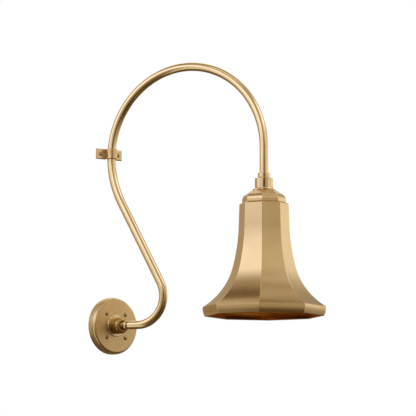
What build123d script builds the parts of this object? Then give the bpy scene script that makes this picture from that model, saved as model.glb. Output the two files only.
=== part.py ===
from build123d import *
import os
from math import cos, radians, sin, sqrt, tan

# Wall light with a bent arm and a hanging eight-sided shade.
# Millimetres and degrees. The wall is the plane y = 0 and the light stands out towards -Y, +Z up.
# The origin is the middle of the backplate on the wall.

# clearances
thread_gap = 0.04
slip_gap = 0.1
running_gap = 0.05
swing_gap = 0.3

# backplate: a spun cup with a stepped edge
plate_radius = 63.5
plate_depth = 18.8
plate_wall = 1.5
band_round = 1.4
band_step = 1.8
shoulder_height = 7.0
shoulder_width = 3.7
shoulder_bow = 0.7
plate_screw_spacing = 52.0

# screws of the plate and of the strap
plate_screw_radius = 2.0
plate_screw_head = 4.9
plate_screw_dome = 2.2
plate_screw_length = 14.0
plate_screw_tip = 1.5
slot_width = 0.9
slot_depth = 0.9

# bracket behind the plate
bracket_gap = 4.0
bracket_height = 84.0
bracket_thickness = 2.0
box_slot_spacing = 88.9
box_slot_width = 4.8
box_slot_length = 14.0
cable_hole_radius = 14.0
post_radius = 4.4
ground_screw_x = 12.0
ground_screw_inset = 11.0
ground_screw_radius = 2.0
ground_head_radius = 4.5
ground_head_flats = 7.0
ground_flange = 1.0
ground_head_height = 3.2
block_width = 30.0
block_gap = 4.3
block_height = 13.0
block_top = -26.0
block_poles = 3
block_pitch = 9.0
block_well_radius = 1.9
block_well_depth = 6.0
block_screw_length = 4.0
lead_radius = 1.6
lead_split = 0.6
lead_gap = 0.3
supply_bend = 5.5

# hub: flange, body, and the hollow screw that holds them
hub_flange_radius = 24.5
hub_flange_thickness = 2.7
hub_flange_round = 1.2
hub_radius = 18.0
hub_straight = 16.5
hub_nose_round = 6.0
hub_mouth_play = 0.4
rod_radius = 5.0
rod_bore = 3.2
nut_height = 5.0
nut_flats = 14.0
washer_radius = 10.0
washer_thickness = 1.5
rod_tail = 0.5
plug_thickness = 3.8
seat_hole = 5.0
seat_front_step = 4.0

# swivel: a ball on two pivot screws
pivot_from_foot = 14.5
arm_yaw = 22.5
ball_radius = 9.3
neck_radius = 4.0
pivot_screw_radius = 2.5
pivot_point_radius = 2.0
pivot_screw_sunk = 2.6
pivot_point_depth = 3.5
stem_bore = 2.4
mouth_spread = 25.0
collar_gap = 4.6
collar_radius = 11.8
collar_length = 4.8
collar_lip = 1.0
collar_step_radius = 9.7
collar_step = 1.5
collar_round = 1.0
collar_groove = 1.7
spigot_length = 13.0

# arm: one bent tube; the path starts level, turns up and back, runs to the wall, up it and over
tube_radius = 9.525
tube_wall = 1.5
tube_off_wall = 12.2
arm_level_run = 24.5
low_bend_radius = 63.0
arm_lean = 28.7
wall_bend_radius = 216.0
top_bend_radius = 192.5
arm_drop_run = 65.0

# strap that holds the arm to the wall
strap_half_length = 35.0
strap_height = 23.4
strap_wall = 2.2
strap_play = 1.0
strap_crown = 0.45
strap_ear = 4.5
strap_round = 1.8
strap_above_bend = 8.1
strap_screw_from_middle = 24.5
strap_screw_radius = 2.1
strap_screw_head = 4.8
strap_screw_dome = 1.7
strap_screw_length = 17.0
strap_screw_tip = 6.0

# pieces on the end of the arm, from the tube down to the shade
bush_length = 14.0
ferrule_radius = 13.3
ferrule_grip = 8.5
ferrule_floor = 2.0
ferrule_neck_radius = 11.0
ferrule_neck = 1.5
ferrule_round = 1.0
cup_radius = 20.0
cup_height = 21.0
cup_wall = 1.5
cup_top = 2.0
cup_round = 0.9
foot_radius = 25.2
foot_edge = 1.5
foot_height = 5.2

# shade: eight flat sides, half widths measured across the flats
shade_wall = 1.5
dome_top_half = 24.1
dome_slope = 35.0
dome_slope_run = 17.1
dome_round = 15.0
dome_skirt = 5.17
shoulder_drop = 3.6
shoulder_out = 5.2
shoulder_lip = 0.3
neck_taper = 1.8
neck_run = 48.2
upper_flare_radius = 430.0
upper_flare_end = 14.0
lower_flare_radius = 145.0
lower_flare_end = 56.4
rim_wall = 2.6
rim_height = 21.0
rim_tuck = 4.0
rim_belly = 1.5

# lampholder and bulb, hanging on the threaded rod under the shade's top
shade_washer_radius = 12.0
holder_gap = 1.5
holder_boss_radius = 8.0
holder_boss = 8.0
holder_cap_radius = 18.0
holder_cap_top = 2.0
holder_cap_wall = 1.2
holder_cap_skirt = 12.0
holder_length = 50.0
holder_chamber = 10.0
holder_chamber_radius = 12.0
holder_floor = 8.0
screw_shell_radius = 13.4
screw_shell_wall = 0.5
screw_shell_length = 29.0
contact_radius = 4.5
contact_button = 2.5
contact_height = 4.4
terminal_offset = 6.5
terminal_shank = 1.2
terminal_head = 2.6
terminal_head_height = 1.8
bulb_cap_wall = 0.4
bulb_cap_length = 20.5
bulb_cone = 3.0
bulb_tip_radius = 4.5
bulb_tip_height = 1.0
bulb_radius = 30.0
bulb_neck_sweep = 30.0
bulb_length = 108.0
bulb_glass_wall = 1.0
bulb_neck_tuck = 2.0
bulb_stem_radius = 4.0
bulb_stem_length = 44.0
filament_count = 4
filament_radius = 0.9
filament_length = 34.0
filament_circle = 8.0
filament_wire = 0.4
filament_hold = 4.0

# ---- sizes worked out from the ones above ----
plate_inside = plate_depth - plate_wall
band_depth = plate_depth - shoulder_height
shoulder_radius = plate_radius - band_step
face_radius = shoulder_radius - shoulder_width
bracket_radius = plate_radius - plate_wall - bracket_gap
ground_screw_z = bracket_height / 2 - ground_screw_inset
block_front = plate_inside - block_gap
hub_rod_end = plate_inside - washer_thickness - nut_height - rod_tail
supply_off_wall = hub_rod_end - lead_gap - supply_bend
hub_foot = plate_depth + hub_flange_thickness
nose_start = hub_foot + hub_straight
nose_end = nose_start + hub_nose_round
seat_radius = ball_radius + swing_gap
pivot_off_wall = hub_foot + pivot_from_foot

tube_bore = tube_radius - tube_wall
stem_radius = tube_bore - slip_gap
collar_start = nose_end - pivot_off_wall + collar_gap
collar_end = collar_start + collar_length
collar_step_end = collar_end + collar_step
stem_shoulder = collar_start + collar_lip
tube_start = collar_step_end + collar_groove

# how far the tube's upright stretch and its drop stand from the pivot, and their heights
lean = radians(arm_lean)
low_bend_out = tube_start + arm_level_run + low_bend_radius * cos(lean)
riser_out = (tube_off_wall - pivot_off_wall) / cos(radians(arm_yaw))
slant_out = low_bend_out - riser_out - wall_bend_radius * (1 - cos(lean))
arm_slant_run = slant_out / sin(lean)
drop_out = riser_out + 2 * top_bend_radius
slant_foot = low_bend_radius * (1 + sin(lean))
arc_foot = slant_foot + arm_slant_run * cos(lean) + wall_bend_radius * sin(lean)
strap_middle = arc_foot + strap_above_bend
tube_end = arc_foot - arm_drop_run

ferrule_top = tube_end + ferrule_grip
ferrule_bottom = tube_end - ferrule_floor
cup_top_level = ferrule_bottom - ferrule_neck
foot_top = cup_top_level - cup_height
dome_top = foot_top - foot_height
dome_line_end = (
    dome_top_half + dome_slope_run * cos(radians(dome_slope)),
    dome_top - dome_slope_run * sin(radians(dome_slope)),
)
dome_half = dome_line_end[0] + dome_round * (1 - sin(radians(dome_slope)))
dome_foot = dome_line_end[1] - dome_round * cos(radians(dome_slope)) - dome_skirt
neck_half = dome_half + shoulder_lip + shoulder_out
neck_top = dome_foot - shoulder_drop
shade_reach = 2 * neck_half + lower_flare_radius
washer_top = dome_top - shade_wall
shade_nut_top = washer_top - washer_thickness
boss_top = shade_nut_top - nut_height - holder_gap
cap_shoulder = boss_top - holder_boss
holder_top = cap_shoulder - holder_cap_top
holder_bottom = holder_top - holder_length
chamber_floor = holder_top - holder_chamber
shell_top = chamber_floor - holder_floor
holder_radius = holder_cap_radius - holder_cap_wall - 2 * slip_gap
bulb_cap_radius = screw_shell_radius - swing_gap
bulb_neck_radius = bulb_cap_radius - bulb_cap_wall - slip_gap
bulb_top = shell_top - contact_height - swing_gap
bulb_shoulder = bulb_top - bulb_tip_height - bulb_cone
bulb_cap_foot = bulb_shoulder - bulb_cap_length
bulb_bottom = bulb_top - bulb_length
bulb_middle = bulb_bottom + bulb_radius
bulb_neck_top = bulb_shoulder - bulb_neck_tuck
bulb_stem_foot = bulb_neck_top - bulb_stem_length

# ---- frames: each piece is drawn about its own axis and then put in place ----
off_wall = Rot(90, 0, 0)
along_arm = Pos(0, -pivot_off_wall, 0) * Rot(0, 0, arm_yaw) * Rot(90, 0, 0)
arm_out = Vector(sin(radians(arm_yaw)), -cos(radians(arm_yaw)), 0)
pivot = Vector(0, -pivot_off_wall, 0)
riser = pivot + arm_out * riser_out
drop = pivot + arm_out * drop_out
under_arm = Pos(drop.X, drop.Y, 0) * Rot(0, 0, arm_yaw)
arm_plane = Plane(origin=pivot, x_dir=arm_out, z_dir=arm_out.cross(Vector(0, 0, 1)))


def rod(radius, low, high):
    """Round bar on the local Z axis between two levels."""
    return Pos(0, 0, low) * Cylinder(radius, high - low, align=(Align.CENTER, Align.CENTER, Align.MIN))


def ring(outer, inner, low, high):
    """Round bar with a round hole through it."""
    return rod(outer, low, high) - rod(inner, low - 1, high + 1)


def turned(*edges):
    """Outline in the XZ plane, x the radius and z the level, turned about the Z axis."""
    return revolve(make_face(edges), Axis.Z)


def run(*points):
    """Straight lines through (radius, level) points."""
    return Polyline([(radius, 0, level) for radius, level in points])


def bow(start, middle, end):
    """Arc through three (radius, level) points."""
    return ThreePointArc(*[(radius, 0, level) for radius, level in (start, middle, end)])


def hexagon(flats, low, high):
    """Hexagon bar between two levels."""
    return Pos(0, 0, low) * extrude(RegularPolygon(flats / 2, 6, major_radius=False), high - low)


def nut(low):
    """Hexagon nut for the threaded rods."""
    high = low + nut_height
    return hexagon(nut_flats, low, high) - rod(rod_radius + thread_gap, low - 1, high + 1)


def softened(solid, radius, level):
    """Rounds the outermost round edge at one level."""
    edges = solid.edges().filter_by(GeomType.CIRCLE).filter_by_position(Axis.Z, level - 0.01, level + 0.01)
    return fillet(edges.sort_by(SortBy.RADIUS)[-1], radius)


def save(name, solid, place=Location()):
    export_step(place * solid, f"parts/{name}.step")


# ---- backplate and what is behind it ----
def plate_screw_places():
    half = plate_screw_spacing / 2
    return [Pos(x, z, 0) for x in (-half, half) for z in (-half, half)]


def backplate():
    """Spun cup: straight band, small step, bowed shoulder, flat face."""
    face_edge = (face_radius, plate_depth)
    step = (shoulder_radius, band_depth)
    belly = (
        (shoulder_radius + face_radius) / 2 + shoulder_bow,
        (band_depth + plate_depth) / 2 + shoulder_bow,
    )
    corner = band_round * (1 - cos(radians(45)))
    hole = rod_radius + slip_gap
    inner = plate_radius - plate_wall
    shell = turned(
        run((inner, 0), (plate_radius, 0), (plate_radius, band_depth - band_round)),
        bow(
            (plate_radius, band_depth - band_round),
            (plate_radius - corner, band_depth - corner),
            (plate_radius - band_round, band_depth),
        ),
        run((plate_radius - band_round, band_depth), step),
        bow(step, belly, face_edge),
        run(
            face_edge,
            (hole, plate_depth),
            (hole, plate_inside),
            (face_radius - plate_wall, plate_inside),
            (shoulder_radius - plate_wall, band_depth),
            (inner, band_depth - plate_wall),
            (inner, 0),
        ),
    )
    head = plate_screw_head + thread_gap
    sink = turned(
        run(
            (0, plate_depth + 1),
            (head, plate_depth + 1),
            (head, plate_depth),
            (head - plate_wall - 1, plate_inside - 1),
            (0, plate_inside - 1),
            (0, plate_depth + 1),
        )
    )
    for place in plate_screw_places():
        shell -= place * sink
    return shell


def domed_screw(radius, head, dome, face, length, tip):
    """Slotted screw: domed head over a 90 degree cone, the cone's rim level with the face."""
    end = face - length
    point = radius / 8
    body = turned(
        run(
            (head, face),
            (radius, face - (head - radius)),
            (radius, end + tip),
            (point, end),
            (0, end),
            (0, face + dome),
        ),
        bow((0, face + dome), (head * 0.62, face + dome * 0.66), (head, face)),
    )
    slot = Pos(0, 0, face + dome) * Box(2 * head, slot_width, 2 * slot_depth)
    return body - slot


def plate_screws():
    screw = domed_screw(
        plate_screw_radius,
        plate_screw_head,
        plate_screw_dome,
        plate_depth,
        plate_screw_length,
        plate_screw_tip,
    )
    return Compound([place * screw for place in plate_screw_places()])


def bracket_posts():
    hole = plate_screw_radius + thread_gap
    sink = plate_screw_head - plate_wall + thread_gap
    post = turned(
        run(
            (hole, bracket_thickness),
            (post_radius, bracket_thickness),
            (post_radius, plate_inside),
            (sink, plate_inside),
            (hole, plate_inside - (sink - hole)),
            (hole, bracket_thickness),
        )
    )
    return Compound([place * post for place in plate_screw_places()])


def mounting_bracket():
    sheet = Circle(bracket_radius) & Rectangle(2 * bracket_radius, bracket_height)
    sheet -= Circle(cable_hole_radius)
    for side in (-1, 1):
        sheet -= Pos(side * box_slot_spacing / 2, 0) * SlotOverall(box_slot_length, box_slot_width)
    sheet -= Pos(ground_screw_x, ground_screw_z) * Circle(ground_screw_radius + thread_gap)
    return extrude(sheet, bracket_thickness)


def ground_screw():
    head = hexagon(ground_head_flats, bracket_thickness, bracket_thickness + ground_head_height)
    head += rod(ground_head_radius, bracket_thickness, bracket_thickness + ground_flange)
    head += rod(ground_screw_radius, slip_gap, bracket_thickness)
    return Pos(ground_screw_x, ground_screw_z, 0) * head


def block_screw_places():
    middle = block_top - block_height / 2
    first = -block_pitch * (block_poles - 1) / 2
    return [Pos(first + block_pitch * pole, middle, 0) for pole in range(block_poles)]


def terminal_block():
    depth = block_front - bracket_thickness
    middle = Pos(0, block_top - block_height / 2, bracket_thickness + depth / 2)
    body = middle * Box(block_width, block_height, depth)
    for place in block_screw_places():
        body -= place * rod(block_well_radius, block_front - block_well_depth, block_front + 1)
    return body


def terminal_screws():
    floor = block_front - block_well_depth
    screw = rod(block_well_radius - slip_gap, floor, floor + block_screw_length)
    screw -= Pos(0, 0, floor + block_screw_length) * Box(
        2 * block_well_radius, slot_width / 2, slot_depth
    )
    return Compound([place * screw for place in block_screw_places()])


def supply_lead():
    """Lead from the terminal block, up behind the nut and out through the hollow screw to the pivot."""
    side = Plane(origin=(0, 0, 0), x_dir=(0, -1, 0), z_dir=(-1, 0, 0))
    rise = Line((supply_off_wall, block_top), (supply_off_wall, -supply_bend))
    turn = JernArc(rise @ 1, rise % 1, supply_bend, -90)
    out = Line(turn @ 1, (pivot_off_wall - lead_split, 0))
    path = side * Wire([rise, turn, out])
    return sweep(Plane(origin=path @ 0, z_dir=path % 0) * Circle(lead_radius), path)


# ---- hub ----
def hub_rod():
    return ring(rod_radius, rod_bore, hub_rod_end, hub_foot + plug_thickness)


def hub_washer():
    return ring(washer_radius, rod_radius + slip_gap, plate_inside - washer_thickness, plate_inside)


def hub_nut():
    return nut(plate_inside - washer_thickness - nut_height)


def hub_flange():
    disc = ring(hub_flange_radius, rod_radius + slip_gap, plate_depth, hub_foot)
    return softened(disc, hub_flange_round, hub_foot)


def pivot_screw_bores(radius, reach):
    """Bars along the upright pivot axis, above and below the pivot."""
    bar = Rot(90, 0, 0) * rod(radius, -reach, reach)
    return Pos(0, 0, pivot_off_wall) * bar


def hub_body():
    """Turned barrel with a round nose and a seat for the ball, open to the front for the neck.
    The mouth is a cone that clears the neck where it leans most to either side."""
    nose_flat = hub_radius - hub_nose_round
    turn = hub_nose_round * cos(radians(45))
    spread = tan(radians(arm_yaw))
    waist = neck_radius / cos(radians(arm_yaw)) + hub_mouth_play
    reach = sqrt(seat_radius**2 * (1 + spread**2) - waist**2)
    throat = (reach - waist * spread) / (1 + spread**2)
    throat_radius = waist + throat * spread
    mouth = waist + (nose_end - pivot_off_wall) * spread
    barrel = turned(
        run((seat_radius, hub_foot), (hub_radius, hub_foot), (hub_radius, nose_start)),
        bow(
            (hub_radius, nose_start),
            (nose_flat + turn, nose_start + turn),
            (nose_flat, nose_end),
        ),
        run(
            (nose_flat, nose_end),
            (mouth, nose_end),
            (throat_radius, pivot_off_wall + throat),
        ),
        bow(
            (throat_radius, pivot_off_wall + throat),
            (sqrt(seat_radius**2 - (throat / 2) ** 2), pivot_off_wall + throat / 2),
            (seat_radius, pivot_off_wall),
        ),
        run((seat_radius, pivot_off_wall), (seat_radius, hub_foot)),
    )
    return barrel - pivot_screw_bores(pivot_screw_radius + thread_gap, 2 * hub_radius)


def hub_plug():
    return ring(seat_radius - thread_gap, rod_radius + thread_gap, hub_foot, hub_foot + plug_thickness)


def swivel_seat():
    """Nylon cup behind the ball, hollowed to the ball's curve."""
    low = hub_foot + plug_thickness
    high = pivot_off_wall - seat_front_step
    outer = seat_radius - slip_gap
    rim = sqrt(seat_radius**2 - seat_front_step**2)
    heel = pivot_off_wall - sqrt(seat_radius**2 - seat_hole**2)
    middle = (rim + seat_hole) / 2
    return turned(
        run((seat_hole, heel), (seat_hole, low), (outer, low), (outer, high), (rim, high)),
        bow(
            (rim, high),
            (middle, pivot_off_wall - sqrt(seat_radius**2 - middle**2)),
            (seat_hole, heel),
        ),
    )


def pivot_screws():
    """Pair of screws whose points are the pins that the ball turns on."""
    inner = seat_radius + swing_gap
    outer = hub_radius - pivot_screw_sunk
    screw = rod(pivot_screw_radius, inner, outer)
    screw += rod(pivot_point_radius, ball_radius - pivot_point_depth + swing_gap, inner)
    screw -= Pos(0, 0, outer) * Box(2 * pivot_screw_radius, slot_width, slot_depth)
    place = Pos(0, 0, pivot_off_wall)
    return Compound([place * Rot(turn, 0, 0) * screw for turn in (-90, 90)])


# ---- swivel stem and arm ----
def swivel_stem():
    """Ball, neck, shank under the collar and spigot in the tube, bored through for the lead."""
    spigot_end = tube_start + spigot_length
    body = Sphere(ball_radius) + rod(neck_radius, 0, stem_shoulder)
    body += rod(stem_radius, stem_shoulder, spigot_end)
    body -= rod(stem_bore, 0, spigot_end + 1)
    spread = 2 * ball_radius * tan(radians(mouth_spread))
    body -= turned(
        run(
            (0, -2 * ball_radius),
            (stem_bore + spread, -2 * ball_radius),
            (stem_bore, 0),
            (0, 0),
            (0, -2 * ball_radius),
        )
    )
    pin_hole = rod(pivot_point_radius + running_gap, ball_radius - pivot_point_depth, 2 * ball_radius)
    for turn in (-90, 90):
        body -= Rot(turn, 0, 0) * pin_hole
    return body


def arm_collar():
    """Stepped ring on the stem, in front of the hub's nose."""
    lip = neck_radius + slip_gap
    bore = stem_radius + slip_gap
    blank = ring(collar_radius, lip, collar_start, collar_end)
    blank = softened(softened(blank, collar_round, collar_end), collar_round / 2, collar_start)
    blank += ring(collar_step_radius, lip, collar_end, collar_step_end)
    return blank - rod(bore, stem_shoulder - slip_gap, collar_step_end + 1)


def arm_path(start, end_drop):
    """Middle line of the arm in its own plane, x out from the pivot and y up."""
    level = Line((start, 0), (tube_start + arm_level_run, 0))
    low_bend = JernArc(level @ 1, level % 1, low_bend_radius, 90 + arm_lean)
    slant = Line(low_bend @ 1, (low_bend @ 1) + (low_bend % 1) * arm_slant_run)
    wall_bend = JernArc(slant @ 1, slant % 1, wall_bend_radius, -arm_lean)
    top_bend = JernArc(wall_bend @ 1, wall_bend % 1, top_bend_radius, -180)
    fall = Line(top_bend @ 1, (top_bend @ 1) + Vector(0, -end_drop))
    return arm_plane * Wire([level, low_bend, slant, wall_bend, top_bend, fall])


def arm_tube():
    path = arm_path(tube_start, arm_drop_run)
    section = Circle(tube_radius) - Circle(tube_bore)
    return sweep(Plane(origin=path @ 0, z_dir=path % 0) * section, path)


def lamp_lead():
    """Lead from the pivot through the arm into the lampholder."""
    path = arm_path(lead_split, arc_foot - chamber_floor - terminal_head_height)
    return sweep(Plane(origin=path @ 0, z_dir=path % 0) * Circle(lead_radius), path)


# ---- strap on the wall ----
def strap_screw_places():
    return [Pos(side * strap_screw_from_middle, strap_middle, 0) for side in (-1, 1)]


def wall_clip():
    """Strap: two flat ears and an arch over the tube; the tube can move in depth but not sideways."""
    bore = tube_radius + strap_play
    outer = bore + strap_wall
    depth = strap_crown - riser.Y
    plan = Pos(0, depth) * Circle(outer) + Pos(0, depth / 2) * Rectangle(2 * outer, depth)
    plan += Pos(0, strap_ear / 2) * Rectangle(2 * strap_half_length, strap_ear)
    body = extrude(plan, strap_height / 2, both=True)
    flat_edges = body.edges().filter_by(Plane.XY)
    front = flat_edges.filter_by_position(Axis.Y, strap_ear - 0.1, 2 * depth + outer)
    body = fillet(front, strap_round)
    gap = Pos(0, depth) * Circle(bore) + Pos(0, (depth - 1) / 2) * Rectangle(2 * bore, depth + 1)
    body -= extrude(gap, strap_height, both=True)
    body = Pos(0, 0, strap_middle) * Rot(180, 0, 0) * body
    head = strap_screw_head + thread_gap
    hole = strap_screw_radius + slip_gap
    sink = turned(
        run(
            (0, -1),
            (hole, -1),
            (hole, strap_ear - (head - hole)),
            (head, strap_ear),
            (head, strap_ear + 1),
            (0, strap_ear + 1),
            (0, -1),
        )
    )
    for place in strap_screw_places():
        body -= off_wall * place * sink
    return body


def clip_screws():
    screw = domed_screw(
        strap_screw_radius,
        strap_screw_head,
        strap_screw_dome,
        strap_ear,
        strap_screw_length,
        strap_screw_tip,
    )
    return Compound([place * screw for place in strap_screw_places()])


# ---- end of the arm ----
def end_bush():
    return ring(tube_bore - thread_gap, rod_radius + thread_gap, tube_end, tube_end + bush_length)


def shade_rod():
    return ring(rod_radius, rod_bore, cap_shoulder, tube_end + bush_length)


def tube_ferrule():
    body = ring(ferrule_radius, rod_radius + slip_gap, ferrule_bottom, ferrule_top)
    body = softened(softened(body, ferrule_round, ferrule_top), ferrule_round, ferrule_bottom)
    body += ring(ferrule_neck_radius, rod_radius + slip_gap, cup_top_level, ferrule_bottom)
    return body - rod(tube_radius + running_gap, tube_end, ferrule_top + 1)


def shade_collar():
    body = ring(cup_radius, rod_radius + slip_gap, foot_top, cup_top_level)
    body = softened(body, cup_round, cup_top_level)
    return body - rod(cup_radius - cup_wall, foot_top - 1, cup_top_level - cup_top)


def shade_flange():
    """Flared foot between the collar and the shade."""
    hole = rod_radius + slip_gap
    edge = (foot_radius, dome_top + foot_edge)
    waist = (cup_radius, foot_top)
    belly = (
        cup_radius + (foot_radius - cup_radius) * 0.3,
        dome_top + foot_edge + (foot_height - foot_edge) * 0.3,
    )
    return turned(
        bow(edge, belly, waist),
        run(waist, (hole, foot_top), (hole, dome_top), (foot_radius, dome_top), edge),
    )


# ---- shade ----
def eight_sided(side):
    """Solid with eight flat sides of one outline, mitred at the corners; x is half its width."""
    top = side[0] @ 0
    bottom = side[-1] @ 1
    mirrored = [mirror(edge, Plane.YZ) for edge in side]
    caps = [Line(top, (-top.X, top.Y)), Line(bottom, (-bottom.X, bottom.Y))]
    blade = extrude(make_face(side + mirrored + caps), shade_reach, both=True)
    solid = blade
    for step in (1, 2, 3):
        solid = solid & (Rot(0, 45 * step, 0) * blade)
    return Rot(90, 0, 0) * solid


def dome_side(inset):
    slope = radians(dome_slope)
    start = (dome_top_half - inset * tan(slope / 2), dome_top - inset)
    end = (dome_line_end[0] - inset * sin(slope), dome_line_end[1] - inset * cos(slope))
    cone = Line(start, end)
    knee = JernArc(end, cone % 1, dome_round - inset, dome_slope - 90)
    foot = Vector(dome_half - inset, dome_foot - (1 if inset else 0))
    return [cone, knee, Line(knee @ 1, foot)]


def shade_dome():
    shell = eight_sided(dome_side(0)) - eight_sided(dome_side(shade_wall))
    return shell - rod(rod_radius + slip_gap, 0, 2 * dome_top)


def bell_side(inset):
    """Shoulder, slightly tapered neck and two flares, one tangent to the next."""
    taper = radians(neck_taper)
    lip = dome_half + shoulder_lip - inset
    above = 1 if inset else 0
    corner = Vector(neck_half - inset * cos(taper), neck_top - inset * sin(taper))
    down = Vector(sin(taper), -cos(taper))
    neck = Line(corner, corner + down * neck_run)
    upper = JernArc(neck @ 1, neck % 1, upper_flare_radius + inset, upper_flare_end - neck_taper)
    lower = JernArc(upper @ 1, upper % 1, lower_flare_radius + inset, lower_flare_end - upper_flare_end)
    shoulder = [Line((lip, dome_foot), corner)]
    if inset:
        shoulder = [Line((lip, dome_foot + above), (lip, dome_foot)), Line((lip, dome_foot), corner)]
    return shoulder + [neck, upper, lower]


def shade_body():
    return eight_sided(bell_side(0)) - eight_sided(bell_side(shade_wall))


def rim_side(inset):
    """Bowed band, tucked in towards the mouth."""
    edge = (bell_side(0))[-1] @ 1
    top = Vector(edge.X - inset, edge.Y)
    bottom = Vector(edge.X - rim_tuck - inset, edge.Y - rim_height)
    middle = Vector((top.X + bottom.X) / 2 + rim_belly, (top.Y + bottom.Y) / 2)
    arc = ThreePointArc(top, middle, bottom)
    if inset:
        return [Line(top + Vector(0, 1), top), arc, Line(bottom, bottom - Vector(0, 1))]
    return [arc]


def shade_rim():
    return eight_sided(rim_side(0)) - eight_sided(rim_side(rim_wall))


def shade_washer():
    return ring(shade_washer_radius, rod_radius + slip_gap, shade_nut_top, washer_top)


def shade_nut():
    return nut(shade_nut_top - nut_height)


# ---- lampholder ----
def socket_cap():
    hole = rod_radius + thread_gap
    skirt = holder_top - holder_cap_skirt
    body = ring(holder_boss_radius, hole, cap_shoulder, boss_top)
    body += ring(holder_cap_radius, hole, holder_top, cap_shoulder)
    body += ring(holder_cap_radius, holder_cap_radius - holder_cap_wall, skirt, holder_top)
    return softened(body, holder_cap_wall, cap_shoulder)


def terminal_places():
    return [Pos(side * terminal_offset, 0, 0) for side in (-1, 1)]


def socket_body():
    """Porcelain barrel: chamber for the terminals above, screw shell below."""
    body = rod(holder_radius, holder_bottom, holder_top)
    body -= rod(holder_chamber_radius, chamber_floor, holder_top + 1)
    body -= rod(screw_shell_radius + screw_shell_wall + slip_gap, holder_bottom - 1, shell_top)
    for place in terminal_places():
        body -= place * rod(terminal_shank + thread_gap, shell_top - 1, chamber_floor + 1)
    return body


def socket_shell():
    outer = screw_shell_radius + screw_shell_wall
    wall = ring(outer, screw_shell_radius, shell_top - screw_shell_length, shell_top)
    return wall + ring(outer, terminal_offset + terminal_head, shell_top - screw_shell_wall, shell_top)


def socket_contact():
    disc = rod(contact_radius, shell_top - screw_shell_wall, shell_top)
    return disc + rod(contact_button, shell_top - contact_height, shell_top)


def socket_screws():
    screw = rod(terminal_head, chamber_floor, chamber_floor + terminal_head_height)
    screw -= Pos(0, 0, chamber_floor + terminal_head_height) * Box(
        2 * terminal_head, slot_width / 2, slot_depth
    )
    screw += rod(terminal_shank, shell_top, chamber_floor)
    return Compound([place * screw for place in terminal_places()])


# ---- bulb ----
def bulb_cap():
    inner = bulb_cap_radius - bulb_cap_wall
    wall = ring(bulb_cap_radius, inner, bulb_cap_foot, bulb_shoulder)
    return wall + ring(bulb_cap_radius, bulb_tip_radius, bulb_shoulder - bulb_cap_wall, bulb_shoulder)


def bulb_tip():
    """Black glass cone with the solder contact on it."""
    cone_top = bulb_shoulder + bulb_cone
    return turned(
        run(
            (0, bulb_shoulder),
            (bulb_cap_radius - bulb_cap_wall, bulb_shoulder),
            (bulb_tip_radius, cone_top),
            (bulb_tip_radius, bulb_top),
            (0, bulb_top),
            (0, bulb_shoulder),
        )
    )


def bulb_outline(inset):
    """Ball, then a sweep tangent to it and to the straight neck."""
    ball = bulb_radius - inset
    neck = bulb_neck_radius - inset
    sweep_radius = bulb_neck_sweep + inset
    rise = sqrt((ball + sweep_radius) ** 2 - (neck + sweep_radius) ** 2)
    reach = ball / (ball + sweep_radius)
    touch = ((neck + sweep_radius) * reach, bulb_middle + rise * reach)
    neck_foot = bulb_middle + rise
    half_turn = radians(15)
    sweep_middle = (
        neck + sweep_radius * (1 - cos(half_turn)),
        neck_foot - sweep_radius * sin(half_turn),
    )
    return [
        bow((0, bulb_middle - ball), (ball, bulb_middle), touch),
        bow(touch, sweep_middle, (neck, neck_foot)),
        run((neck, neck_foot), (neck, bulb_neck_top), (0, bulb_neck_top), (0, bulb_middle - ball)),
    ]


def bulb_glass():
    return turned(*bulb_outline(0)) - turned(*bulb_outline(bulb_glass_wall))


def bulb_stem():
    flare_radius = bulb_neck_radius - bulb_glass_wall - slip_gap
    flare = rod(flare_radius, bulb_neck_top - bulb_glass_wall, bulb_neck_top)
    return flare + rod(bulb_stem_radius, bulb_stem_foot, bulb_neck_top)


def bulb_filaments():
    """Sticks round the glass stem, carried by it on wires and joined by a wire ring below."""
    high = bulb_stem_foot + filament_hold
    low = high - filament_length
    stick = rod(filament_radius, low, high)
    reach = filament_circle - bulb_stem_radius - slip_gap
    wire = Pos(0, 0, high - filament_radius) * Rot(0, -90, 0) * rod(filament_wire, 0, reach)
    step = 360 / filament_count
    cage = Pos(0, 0, low + filament_radius) * Torus(filament_circle, filament_wire)
    for k in range(filament_count):
        cage += Rot(0, 0, step * k) * Pos(filament_circle, 0, 0) * (stick + wire)
    return cage


os.makedirs("parts", exist_ok=True)

save("backplate", backplate(), off_wall)
save("plate_screws", plate_screws(), off_wall)
save("bracket_posts", bracket_posts(), off_wall)
save("mounting_bracket", mounting_bracket(), off_wall)
save("ground_screw", ground_screw(), off_wall)
save("terminal_block", terminal_block(), off_wall)
save("terminal_screws", terminal_screws(), off_wall)
save("supply_lead", supply_lead())
save("hub_rod", hub_rod(), off_wall)
save("hub_washer", hub_washer(), off_wall)
save("hub_nut", hub_nut(), off_wall)
save("hub_flange", hub_flange(), off_wall)
save("hub_body", hub_body(), off_wall)
save("hub_plug", hub_plug(), off_wall)
save("swivel_seat", swivel_seat(), off_wall)
save("pivot_screws", pivot_screws(), off_wall)

save("swivel_stem", swivel_stem(), along_arm)
save("arm_collar", arm_collar(), along_arm)
save("arm_tube", arm_tube())
save("lamp_lead", lamp_lead())

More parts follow.
